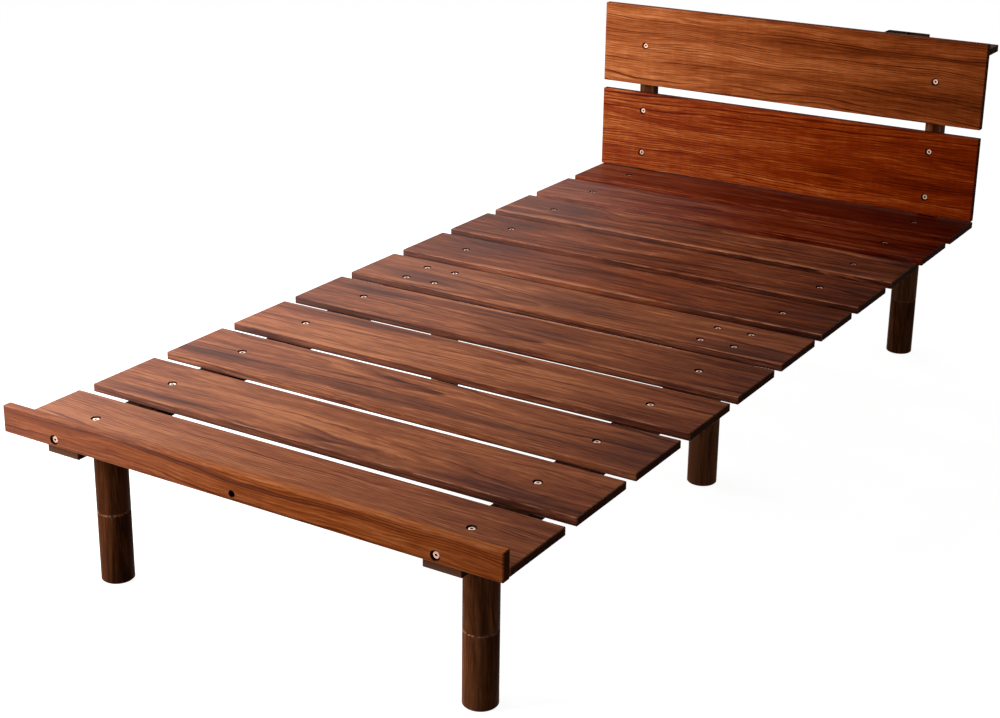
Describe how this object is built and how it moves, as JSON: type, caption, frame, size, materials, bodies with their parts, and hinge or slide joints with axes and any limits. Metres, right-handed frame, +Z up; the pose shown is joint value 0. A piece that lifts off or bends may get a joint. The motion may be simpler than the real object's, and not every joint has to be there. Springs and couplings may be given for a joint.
{
  "type": "floor bed frame",
  "caption": "Low single bed frame: plank slats bolted across two beams, round screw-in legs in stacked sections, low foot rail, plank headboard with rear shelf.",
  "frame": {"origin": "middle of the bounding box at floor level: halfway across the bed and halfway along its full length", "axes": "+X across the bed to the right as seen from the foot, +Y along the bed from foot to head, +Z up"},
  "size_m": [0.98, 2.148, 0.73],
  "materials": {
    "deck_wood": "satin walnut-stained pine",
    "rail_wood": "satin walnut-stained pine",
    "headboard_wood": "satin walnut-stained pine",
    "frame_wood": "satin walnut-stained pine",
    "leg_wood": "satin walnut-stained pine",
    "bolt_metal": "bronze-plated steel",
    "zinc_steel": "zinc-plated steel",
    "bracket_steel": "dark powder coat",
    "nut_brass": "plain",
    "contact_brass": "plain",
    "outlet_plastic": "fine matt"
  },
  "bodies": {
    "frame": {"slat_01": "deck_wood", "slat_02": "deck_wood", "slat_03": "deck_wood", "slat_04": "deck_wood", "slat_05": "deck_wood", "slat_06": "deck_wood", "slat_07": "deck_wood", "slat_08": "deck_wood", "slat_09": "deck_wood", "slat_10": "deck_wood", "slat_11": "deck_wood", "foot_rail": "rail_wood", "beam_left_foot": "frame_wood", "beam_left_head": "frame_wood", "beam_right_foot": "frame_wood", "beam_right_head": "frame_wood", "splice_block_left": "frame_wood", "splice_block_right": "frame_wood", "headboard_plank_lower": "headboard_wood", "headboard_plank_upper": "headboard_wood", "post_left": "frame_wood", "post_right": "frame_wood", "rear_shelf": "frame_wood", "bracket_left": "bracket_steel", "bracket_right": "bracket_steel", "deck_bolts": "bolt_metal", "headboard_bolts": "bolt_metal", "insert_nuts": "nut_brass", "rail_screws": "bolt_metal", "leg_bolts": "zinc_steel", "bracket_screws": "zinc_steel", "shelf_screws": "zinc_steel", "outlet_body": "outlet_plastic", "outlet_socket_face": "outlet_plastic", "outlet_contacts": "contact_brass"},
    "lid": {"outlet_lid": "outlet_plastic"},
    "upper_foot_left": {"upper_leg_foot_left": "leg_wood", "leg_nuts_foot_left": "nut_brass"},
    "lower_foot_left": {"lower_leg_foot_left": "leg_wood", "leg_stud_foot_left": "zinc_steel"},
    "upper_middle_left": {"upper_leg_middle_left": "leg_wood", "leg_nuts_middle_left": "nut_brass"},
    "lower_middle_left": {"lower_leg_middle_left": "leg_wood", "leg_stud_middle_left": "zinc_steel"},
    "upper_head_left": {"upper_leg_head_left": "leg_wood", "leg_nuts_head_left": "nut_brass"},
    "lower_head_left": {"lower_leg_head_left": "leg_wood", "leg_stud_head_left": "zinc_steel"},
    "upper_foot_right": {"upper_leg_foot_right": "leg_wood", "leg_nuts_foot_right": "nut_brass"},
    "lower_foot_right": {"lower_leg_foot_right": "leg_wood", "leg_stud_foot_right": "zinc_steel"},
    "upper_middle_right": {"upper_leg_middle_right": "leg_wood", "leg_nuts_middle_right": "nut_brass"},
    "lower_middle_right": {"lower_leg_middle_right": "leg_wood", "leg_stud_middle_right": "zinc_steel"},
    "upper_head_right": {"upper_leg_head_right": "leg_wood", "leg_nuts_head_right": "nut_brass"},
    "lower_head_right": {"lower_leg_head_right": "leg_wood", "leg_stud_head_right": "zinc_steel"}
  },
  "joints": [
    {"name": "upper_leg_foot_left_screw", "type": "hinge", "parent": "frame", "child": "upper_foot_left", "pos_m": [-0.375, -0.948, 0.2], "axis": [0, 0, 1], "continuous": true},
    {"name": "lower_leg_foot_left_screw", "type": "hinge", "parent": "upper_foot_left", "child": "lower_foot_left", "pos_m": [-0.375, -0.948, 0.065], "axis": [0, 0, 1], "continuous": true},
    {"name": "upper_leg_middle_left_screw", "type": "hinge", "parent": "frame", "child": "upper_middle_left", "pos_m": [-0.305, -0.022, 0.2], "axis": [0, 0, 1], "continuous": true},
    {"name": "lower_leg_middle_left_screw", "type": "hinge", "parent": "upper_middle_left", "child": "lower_middle_left", "pos_m": [-0.305, -0.022, 0.065], "axis": [0, 0, 1], "continuous": true},
    {"name": "upper_leg_head_left_screw", "type": "hinge", "parent": "frame", "child": "upper_head_left", "pos_m": [-0.375, 0.906, 0.2], "axis": [0, 0, 1], "continuous": true},
    {"name": "lower_leg_head_left_screw", "type": "hinge", "parent": "upper_head_left", "child": "lower_head_left", "pos_m": [-0.375, 0.906, 0.065], "axis": [0, 0, 1], "continuous": true},
    {"name": "upper_leg_foot_right_screw", "type": "hinge", "parent": "frame", "child": "upper_foot_right", "pos_m": [0.375, -0.948, 0.2], "axis": [0, 0, 1], "continuous": true},
    {"name": "lower_leg_foot_right_screw", "type": "hinge", "parent": "upper_foot_right", "child": "lower_foot_right", "pos_m": [0.375, -0.948, 0.065], "axis": [0, 0, 1], "continuous": true},
    {"name": "upper_leg_middle_right_screw", "type": "hinge", "parent": "frame", "child": "upper_middle_right", "pos_m": [0.305, -0.022, 0.2], "axis": [0, 0, 1], "continuous": true},
    {"name": "lower_leg_middle_right_screw", "type": "hinge", "parent": "upper_middle_right", "child": "lower_middle_right", "pos_m": [0.305, -0.022, 0.065], "axis": [0, 0, 1], "continuous": true},
    {"name": "upper_leg_head_right_screw", "type": "hinge", "parent": "frame", "child": "upper_head_right", "pos_m": [0.375, 0.906, 0.2], "axis": [0, 0, 1], "continuous": true},
    {"name": "lower_leg_head_right_screw", "type": "hinge", "parent": "upper_head_right", "child": "lower_head_right", "pos_m": [0.375, 0.906, 0.065], "axis": [0, 0, 1], "continuous": true},
    {"name": "outlet_lid_slide", "type": "slide", "parent": "frame", "child": "lid", "axis": [1, 0, 0], "range_m": [0, 0.046]}
  ]
}
